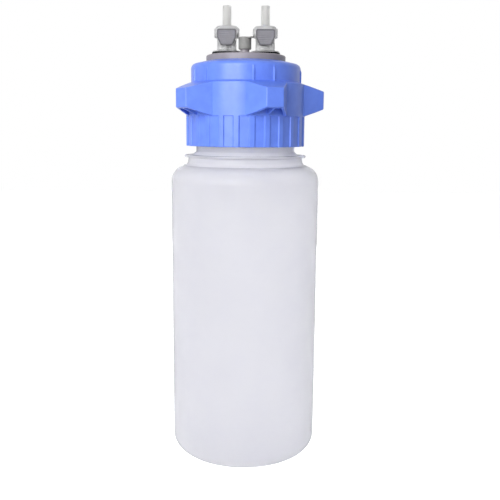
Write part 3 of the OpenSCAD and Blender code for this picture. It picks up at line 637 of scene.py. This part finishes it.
wing = wing_block()
bevel_edges(wing, 0.9, wing_rim, 4)
for side in (-1, 1):
    boolean(wing, wing_hollow(side), "DIFFERENCE")
wings = [placed(copy_of(wing, f"wing_{i}"), Matrix.Rotation(radians(WING_PITCH * i), 4, "Z"))
         for i in range(1, WINGS)]
take(*wings, wing)
bpy.ops.object.join()
boolean(ring, wing, "UNION")
placed(ring, Matrix.Rotation(radians(WING_TURN), 4, "Z"))
ring_thread = thread("ring_thread", BORE_R + THREAD_ROOT, BORE_R - THREAD_DEPTH, THREAD_Z - THREAD_PITCH / 2)
boolean(ring, ring_thread, "UNION")
finish_piece(ring, "ring", ring_look, ["screw_ring"], smooth=28)

# ---------------------------------------------------------------- head plate
HEAD_TOP, HEAD_R, HEAD_WALL = 393.6, 38.2, 3.5
PAD_TOP, PAD_R = 395.2, 14.8           # the raised pad under both couplings
PORT_X = PORTS["vacuum"]
FLANGE_Z, FLANGE_R, FLANGE_CHAMFER, SPIGOT_R, SPIGOT_LOW = 378.2, 48.5, 2.5, 44.5, 366.2
STEM_HOLE_R, DRILL_LOW, DRILL_HIGH = 6.15, 380, 400
SPOUT_R, SPOUT_BORE, SPOUT_TOP, SPOUT_ROOT_R, SPOUT_ROOT_Z, SPOUT_CORE_R = 4.3, 2.5, 407.8, 5.3, 391, 2
CAP_HALF = 6.2
vent = Vector((cap_low.x + CAP_HALF, cap_high.y - CAP_HALF, 0)) * MM

head = turned("head_plate_shell", rounded([
    (0, HEAD_TOP - HEAD_WALL), (HEAD_R - HEAD_WALL, HEAD_TOP - HEAD_WALL, 1.0),
    (HEAD_R - HEAD_WALL, SEAT_Z - HEAD_WALL, 1.0), (SPIGOT_R - HEAD_WALL, SEAT_Z - HEAD_WALL, 1.0),
    (SPIGOT_R - HEAD_WALL, SPIGOT_LOW, 0.4), (SPIGOT_R, SPIGOT_LOW, 1.0), (SPIGOT_R, FLANGE_Z, 0.3),
    (FLANGE_R, FLANGE_Z, 0.4), (FLANGE_R, SEAT_Z - FLANGE_CHAMFER, 0.4),
    (FLANGE_R - FLANGE_CHAMFER, SEAT_Z, 0.4), (HEAD_R, SEAT_Z, 0.4), (HEAD_R, HEAD_TOP, 1.3),
    (0, HEAD_TOP)], 15), steps=128)
pad_ends = arc_of(PAD_R, 48, PORT_X, 0, -pi / 2, pi) + arc_of(PAD_R, 48, -PORT_X, 0, pi / 2, pi)
pad = plate("seat", pad_ends, HEAD_TOP - 1, PAD_TOP)
bevel_edges(pad, 0.35, rim_above(PAD_TOP - 0.1))
boolean(head, pad, "UNION")
spout = turned("spout", closed(rounded([
    (SPOUT_CORE_R, SPOUT_ROOT_Z), (SPOUT_ROOT_R, SPOUT_ROOT_Z), (SPOUT_ROOT_R, PAD_TOP + HAIR),
    (SPOUT_R, PAD_TOP + 1.0, 0.8), (SPOUT_R, SPOUT_TOP, 0.5), (SPOUT_CORE_R, SPOUT_TOP)], 18)), steps=64)
placed(spout, Matrix.Translation(vent))
boolean(head, spout, "UNION")
for x in (-PORT_X, PORT_X):
    boolean(head, plate("stem_hole", arc_of(STEM_HOLE_R, 64, x), DRILL_LOW, DRILL_HIGH), "DIFFERENCE")
vent_bore = plate("vent_bore", arc_of(SPOUT_BORE, 48, vent.x / MM, vent.y / MM), DRILL_LOW, SPOUT_TOP + 1.2)
boolean(head, vent_bore, "DIFFERENCE")
finish_piece(head, "head", head_look, ["head_plate"], smooth=35)

# ---------------------------------------------------------------- vent cap
CAP_LOW, CAP_TOP, CAP_R, CAP_BORE, CAP_GAP = cap_low.z, cap_high.z, 6.1, 4.35, 0.03
BEAD_REACH, BEAD_T, BEAD_LEAD = 0.2, 1.6, 0.25
TAB_HALF, TAB_ROOT, TAB_REACH, TAB_T, TAB_TURN = 1.6, 3.0, 11.4, 1.4, 43


def tab_rim(edge):
    return sharp(edge, 60) and steepness(edge) < 0.5


cap = turned("vent_cap_shell", rounded([
    (0, SPOUT_TOP + CAP_GAP), (CAP_BORE, SPOUT_TOP + CAP_GAP, 0.3), (CAP_BORE, CAP_LOW, 0.2),
    (CAP_R, CAP_LOW, 0.8), (CAP_R, CAP_TOP - BEAD_T - BEAD_LEAD, 0.2),
    (CAP_R + BEAD_REACH, CAP_TOP - BEAD_T, 0.15), (CAP_R + BEAD_REACH, CAP_TOP, 0.5),
    (0, CAP_TOP)], 18), steps=80)
tab = plate("pull_tab", rounded([
    (-TAB_HALF, -TAB_ROOT), (-TAB_HALF, -TAB_REACH, 1.1), (TAB_HALF, -TAB_REACH, 1.1),
    (TAB_HALF, -TAB_ROOT)], 18), CAP_TOP - TAB_T, CAP_TOP - HAIR)
bevel_edges(tab, 0.3, tab_rim)
placed(tab, Matrix.Rotation(radians(TAB_TURN), 4, "Z"))
boolean(cap, tab, "UNION")
placed(cap, Matrix.Translation(vent))
finish_piece(cap, "vent", cap_look, ["vent_cap"], smooth=35)

# ---------------------------------------------------------------- couplings: body
# Heights are above the face of a coupling's foot
FOOT_R, FOOT_T, BARREL_R = 13.7, 1.2, 9.2
BLOCK_R, BLOCK_LOW, BLOCK_TOP, BLOCK_BEVEL = 12.0, 13.9, 24.2, 2.3
STEM_R, STEM_LOW, NOZZLE_R, NOZZLE_BORE, NOZZLE_LOW = 6.0, -19.6, 3.5, 2.0, -29.6
SOCKET_R, SOCKET_LOW = 6.5, 6.9
POPPET_HOLE_R, POPPET_SEAT, POPPET_BORE, POPPET_LOW = 3.0, 5.4, 4.2, -11.6
FLAT_Y, FLAT_Z, BESIDE, BEFORE = 8.5, 5.3, 14, 15  # the cut for the flat goes past the foot
LATCH_Z, LATCH_T, LATCH_R, LATCH_HOLE_R, LATCH_SHIFT = 15.6, 2.4, 9.2, 6.75, 2.0
SLOT_GAP = 0.3
SPRING_Z, POCKET_R, RECESS_R, POCKET_DEPTH = 10.8, 2.1, 2.0, 1
foot = Matrix.Translation((0, 0, FOOT_Z * MM))
facing_front = Matrix.Rotation(pi / 2, 4, "X")


def flat_rim(edge):
    """Picks the flat's outer rim, and not the rims of the spring's pocket and the latch's slot in it."""
    on_flat = all(abs(vertex.co.y / MM + FLAT_Y) < 0.02 for vertex in edge.verts)
    across, up = abs(middle(edge).x) / MM, middle(edge).z / MM - FOOT_Z
    at_pocket = across <= POCKET_R + 0.2 and up <= 19
    at_slot = LATCH_Z - 0.6 < up < LATCH_Z + LATCH_T + 0.6
    return on_flat and sharp(edge, 40) and not at_pocket and not at_slot


body = turned("coupling_shell", closed(rounded([
    (NOZZLE_BORE, NOZZLE_LOW, 0.2), (NOZZLE_R, NOZZLE_LOW, 0.4), (NOZZLE_R, STEM_LOW, 0.2),
    (STEM_R, STEM_LOW, 0.6), (STEM_R, 0, 0.1), (FOOT_R, 0, 0.3), (FOOT_R, FOOT_T, 0.5),
    (BARREL_R, FOOT_T, 1.6), (BARREL_R, BLOCK_LOW, 0.4), (BLOCK_R, BLOCK_LOW, 0.6),
    (BLOCK_R, BLOCK_TOP - BLOCK_BEVEL, 1.3), (BLOCK_R - BLOCK_BEVEL, BLOCK_TOP, 0.9),
    (SOCKET_R, BLOCK_TOP, 0.3), (SOCKET_R, SOCKET_LOW, 0.2), (POPPET_HOLE_R, SOCKET_LOW, 0.2),
    (POPPET_HOLE_R, POPPET_SEAT, 0.2), (POPPET_BORE, POPPET_SEAT), (POPPET_BORE, POPPET_LOW),
    (NOZZLE_BORE, POPPET_LOW)], 15)), steps=96)
placed(body, foot)
flat = plate("flat", oblong(-BESIDE, -BEFORE, BESIDE, -FLAT_Y), FOOT_Z + FLAT_Z, FOOT_Z + BLOCK_TOP + 2)
boolean(body, flat, "DIFFERENCE")
slot_r = LATCH_R + SLOT_GAP
slot_outline = arc_of(slot_r, 40, 0, 0, 0, pi) + arc_of(slot_r, 40, 0, -LATCH_SHIFT, pi, pi)
slot = plate("latch_slot", slot_outline, FOOT_Z + LATCH_Z - SLOT_GAP / 2,
             FOOT_Z + LATCH_Z + LATCH_T + SLOT_GAP / 2)
boolean(body, slot, "DIFFERENCE")
pocket = plate("spring_pocket", arc_of(POCKET_R, 24), 0, 2)
placed(pocket, foot @ Matrix.Translation((0, -(FLAT_Y - POCKET_DEPTH) * MM, SPRING_Z * MM)) @ facing_front)
boolean(body, pocket, "DIFFERENCE")
bevel_edges(body, 0.35, flat_rim)

# ---------------------------------------------------------------- couplings: button and latch
# The push button is a bevelled slab with a sunk face that carries cross ribs for the thumb. It is
# drawn lying down, with its face up.
BUTTON_LOW, BUTTON_TAPER, BUTTON_HIGH = 5.9, 13.1, 20.7
BUTTON_HALF, BUTTON_LOW_HALF, BUTTON_BACK, BUTTON_T, BUTTON_BEVEL = 9.0, 5.5, 10.8, 2.2, 0.6
FRAME_WIDTH, SUNK = 1.25, 0.6
RIBS, RIB_START, RIB_STEP, RIB_H, RIB_W, RIB_LONGEST = 7, 8.3, 1.65, 0.45, 0.85, 7.6
LATCH_NECK, LATCH_BITE = 5.5, 0.4      # half the latch plate's width at the button, and how far it goes in


def button_half(up):
    """Half the button's width at a height."""
    taper = (BUTTON_HALF - BUTTON_LOW_HALF) / (BUTTON_TAPER - BUTTON_LOW)
    return BUTTON_HALF - max(0, BUTTON_TAPER - up) * taper


def sunk_rim(edge):
    return sharp(edge, 60) and max(vertex.co.z for vertex in edge.verts) < (BUTTON_T - 0.5) * MM


button = plate("button", rounded([
    (-BUTTON_LOW_HALF, BUTTON_LOW, 1.2), (BUTTON_LOW_HALF, BUTTON_LOW, 1.2),
    (BUTTON_HALF, BUTTON_TAPER, 2.5), (BUTTON_HALF, BUTTON_HIGH, 1.5),
    (-BUTTON_HALF, BUTTON_HIGH, 1.5), (-BUTTON_HALF, BUTTON_TAPER, 2.5)], 15), 0, BUTTON_T)
bevel_edges(button, BUTTON_BEVEL, rim_above(BUTTON_T - 0.1), 4)
sunk_low_half, sunk_half = BUTTON_LOW_HALF - 0.7, BUTTON_HALF - FRAME_WIDTH
sunk = plate("sunk_face", rounded([
    (-sunk_low_half, BUTTON_LOW + FRAME_WIDTH, 0.8), (sunk_low_half, BUTTON_LOW + FRAME_WIDTH, 0.8),
    (sunk_half, BUTTON_TAPER + 0.3, 2.0), (sunk_half, BUTTON_HIGH - FRAME_WIDTH, 0.9),
    (-sunk_half, BUTTON_HIGH - FRAME_WIDTH, 0.9), (-sunk_half, BUTTON_TAPER + 0.3, 2.0)], 15),
    BUTTON_T - SUNK, BUTTON_T + 1)
bevel_edges(sunk, 0.2, sunk_rim, 2)
boolean(button, sunk, "DIFFERENCE")
for i in range(RIBS):
    up = RIB_START + i * RIB_STEP
    half = min(RIB_LONGEST, button_half(up - 0.9) - 1.1)
    rib = plate("grip_rib", oblong(-half, up - RIB_W / 2, half, up + RIB_W / 2),
                BUTTON_T - SUNK - 0.3, BUTTON_T - SUNK + RIB_H)
    bevel_edges(rib, 0.3, rim_above(BUTTON_T - 0.3))
    boolean(button, rib, "UNION")
boolean(button, plate("spring_recess", arc_of(RECESS_R, 24, 0, SPRING_Z), -1, POCKET_DEPTH), "DIFFERENCE")
placed(button, foot @ Matrix.Translation((0, -BUTTON_BACK * MM, 0)) @ facing_front)

# The latch plate reaches back from the button, round the plug
start = atan2(-sqrt(LATCH_R ** 2 - LATCH_NECK ** 2), LATCH_NECK)
neck_y = -BUTTON_BACK - LATCH_BITE
latch_outline = [(LATCH_NECK, neck_y)] + arc_of(LATCH_R, 56, 0, -LATCH_SHIFT, start, pi - 2 * start)
latch_outline.append((-LATCH_NECK, neck_y))
latch = plate("latch_plate", latch_outline, FOOT_Z + LATCH_Z, FOOT_Z + LATCH_Z + LATCH_T)
plug_hole = plate("plug_hole", arc_of(LATCH_HOLE_R, 56, 0, -LATCH_SHIFT), FOOT_Z + 10, FOOT_Z + 22)
boolean(latch, plug_hole, "DIFFERENCE")
boolean(button, latch, "UNION")

# ---------------------------------------------------------------- couplings: barb
PLUG_LOW, PLUG_R, PLUG_TOP, PLUG_TOP_R = 7.2, 6.4, 23.7, 5.8
TUBE_R, TUBE_BORE, TUBE_LOW, TUBE_TOP = 4.1, 2.5, 25.4, 43.4


def groove(low, high, floor_r, rounding):
    """The corners of a groove round the plug."""
    return [(PLUG_R, low, rounding), (floor_r, low, rounding), (floor_r, high, rounding),
            (PLUG_R, high, rounding)]


seal_groove = groove(low=8.6, high=10.5, floor_r=5.1, rounding=0.1)
latch_groove = groove(low=15.3, high=18.3, floor_r=4.45, rounding=0.2)
barb = turned("barb_shell", closed(rounded(
    [(TUBE_BORE, PLUG_LOW, 0.2), (PLUG_R, PLUG_LOW, 0.5)] + seal_groove + latch_groove
    + [(PLUG_R, PLUG_TOP, 0.5), (PLUG_TOP_R, PLUG_TOP, 0.1), (TUBE_R, TUBE_LOW, 1.5),
       (TUBE_R, TUBE_TOP, 1.0), (TUBE_BORE, TUBE_TOP, 0.35)], 15)), steps=72)
placed(barb, foot)


# ---------------------------------------------------------------- couplings: one to each port
def on_frame(face, mesh, x):
    """Whether a face of a button belongs to the frame round its sunk face, which is painted darker as shade.
    """
    front = -(BUTTON_BACK + BUTTON_T - 0.05) * MM
    if all(mesh.vertices[i].co.y < front for i in face.vertices):
        return True
    across, up = abs(face.center.x / MM - x), face.center.z / MM - FOOT_Z
    inside = BUTTON_LOW + BUTTON_BEVEL < up < BUTTON_HIGH - BUTTON_BEVEL
    outside = across > button_half(up) - BUTTON_BEVEL or not inside
    return outside and face.center.y < -(BUTTON_BACK + 0.3) * MM


for side, x in PORTS.items():
    for piece, part, rides_on, plastic, look in (
            (body, "body", "head", "coupling_plastic", coupling_look),
            (button, "latch", f"{side}_button", "button_plastic", button_look),
            (barb, "barb", f"{side}_plug", "barb_plastic", barb_look)):
        twin = placed(copy_of(piece, f"{side}_{part}_shell"), Matrix.Translation((x * MM, 0, 0)))
        finish_piece(twin, rides_on, look, [f"{side}_{part}"], smooth=35)
        if part == "latch":
            # The frame and sides take the darker grey, which is painted shade
            twin.data.materials.append(frame_shade_look)
            for face in twin.data.polygons:
                face.material_index = int(on_frame(face, twin.data, x))
take(body, button, barb)
bpy.ops.object.delete()

# ---------------------------------------------------------------- latch springs
# They lie between the barrel's pocket and the button's recess. The real ones shorten as the button is
# pressed; these ride on the head at one length.
SPRING_R, SPRING_WIRE_R, SPRING_TURNS, WIRE_SIDES, TURN_STEPS = 1.575, 0.225, 3, 10, 32
SPRING_SEAT = FLAT_Y - POCKET_DEPTH + HAIR
SPRING_LENGTH = BUTTON_BACK + POCKET_DEPTH - HAIR - SPRING_SEAT


def coil(name):
    """A coil spring along Z from the origin, with closed ends."""
    climb = SPRING_LENGTH - 2 * SPRING_WIRE_R
    let_go()
    bpy.ops.mesh.primitive_circle_add(vertices=WIRE_SIDES, radius=SPRING_WIRE_R * MM, rotation=(pi / 2, 0, 0),
                                      location=(SPRING_R * MM, 0, SPRING_WIRE_R * MM))
    piece = bpy.context.object
    piece.name = piece.data.name = name
    bpy.ops.object.transform_apply(location=True, rotation=True, scale=True)
    bpy.ops.object.modifier_add(type="SCREW")
    sweep = piece.modifiers[-1]
    sweep.angle, sweep.screw_offset = 2 * pi * SPRING_TURNS, climb * MM
    sweep.steps = sweep.render_steps = TURN_STEPS * SPRING_TURNS
    bpy.ops.object.modifier_apply(modifier=sweep.name)
    open_mesh(piece)
    bpy.ops.mesh.select_all(action="SELECT")
    bpy.ops.mesh.fill_holes(sides=WIRE_SIDES)
    tidy_shell()
    close_mesh()
    return piece


for side, x in PORTS.items():
    spring = placed(coil(f"{side}_latch_coil"),
                    foot @ Matrix.Translation((x * MM, -SPRING_SEAT * MM, SPRING_Z * MM)) @ facing_front)
    finish_piece(spring, "head", spring_look, [f"{side}_latch_spring"], smooth=60)
    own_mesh(spring)

# ---------------------------------------------------------------- camera
# From here on, lengths are in metres and angles in degrees
CAMERA_AT, CAMERA_DOWN, CAMERA_ROLL = (0.00544, -0.700, 0.3245), 9.78, 0.47
camera = bpy.data.cameras.new("camera")
camera.sensor_width, camera.lens = 36.0, 50.6016
camera.clip_start = 0.01
tripod = bpy.data.objects.new("camera", camera)
tripod.matrix_world = (Matrix.Translation(CAMERA_AT) @ Matrix.Rotation(radians(90 - CAMERA_DOWN), 4, "X")
                       @ Matrix.Rotation(radians(CAMERA_ROLL), 4, "Z"))
bpy.context.scene.collection.objects.link(tripod)
bpy.context.scene.camera = tripod

# ---------------------------------------------------------------- light and floor
ROOM_LIGHT, FLOOR_GLOW = 0.24, 0.75
FLOOR_SIZE, FLOOR_Z = 6, -0.0002
OBJECT_MIDDLE = (0, 0, 0.27)
WHITE = (1, 1, 1, 1)
PAPER = (0.8, 0.8, 0.8, 1)             # how much light white paper gives back


def seen_white(tree):
    """1 where a ray from the camera, a gloss or a see-through piece sees the backdrop, and else 0."""
    ray = add(tree, "LightPath", {}).outputs
    eye = add(tree, "Math", {0: ray["Is Camera Ray"], 1: ray["Is Glossy Ray"]}, operation="MAXIMUM")
    through = add(tree, "Math", {0: eye.outputs[0], 1: ray["Is Transmission Ray"]}, operation="MAXIMUM")
    return through.outputs[0]


def lamp(name, size, watts, at, aim, mirrored):
    """A square soft lamp. See-through pieces don't show it, and gloss does only where it is mirrored."""
    light = bpy.data.lights.new(name, "AREA")
    light.size, light.energy = size, watts
    stand = bpy.data.objects.new(name, light)
    bpy.context.scene.collection.objects.link(stand)
    turn = (Vector(aim) - Vector(at)).to_track_quat("-Z", "Y")
    stand.matrix_world = Matrix.Translation(at) @ turn.to_matrix().to_4x4()
    stand.visible_transmission = False
    stand.visible_glossy = mirrored


# The room lights the object dimly and evenly, and its walls look white
studio = bpy.data.worlds.new("studio")
bpy.context.scene.world = studio
studio.use_nodes = True
tree = studio.node_tree
tree.nodes.clear()
room = add(tree, "Background", {"Color": WHITE, "Strength": ROOM_LIGHT})
white = add(tree, "Background", {"Color": WHITE, "Strength": 1})
mix = add(tree, "MixShader", {0: seen_white(tree), 1: room.outputs[0], 2: white.outputs[0]})
add(tree, "OutputWorld", {"Surface": mix.outputs[0]})

lamp("key", size=0.9, watts=17.5, at=(-0.50, -1.05, 0.74), aim=OBJECT_MIDDLE, mirrored=True)
lamp("back", size=0.9, watts=8, at=(0.35, 1.15, 0.55), aim=OBJECT_MIDDLE, mirrored=False)

# Matt white paper, which glows a little so that it meets the walls without a seam
let_go()
bpy.ops.mesh.primitive_plane_add(size=FLOOR_SIZE, location=(0, 0, FLOOR_Z))
floor = bpy.context.object
floor.name = "floor"
paper = bpy.data.materials.new("floor_paper")
paper.use_nodes = True
tree = paper.node_tree
tree.nodes.clear()
glow = add(tree, "Math", {0: seen_white(tree), 1: FLOOR_GLOW}, operation="MULTIPLY")
sheet = add(tree, "BsdfPrincipled", {"Base Color": PAPER, "Roughness": 0.9, "Emission Color": WHITE,
                                     "Emission Strength": glow.outputs[0]})
# Gloss and see-through pieces see the floor as white as the walls, without the lamps' pools of light
ray = add(tree, "LightPath", {}).outputs
indirect = add(tree, "Math", {0: ray["Is Glossy Ray"], 1: ray["Is Transmission Ray"]}, operation="MAXIMUM")
plain = add(tree, "Emission", {"Color": WHITE, "Strength": 1})
mix = add(tree, "MixShader", {0: indirect.outputs[0], 1: sheet.outputs[0], 2: plain.outputs[0]})
add(tree, "OutputMaterial", {"Surface": mix.outputs[0]})
floor.data.materials.append(paper)
bpy.context.scene.view_settings.view_transform = "Standard"
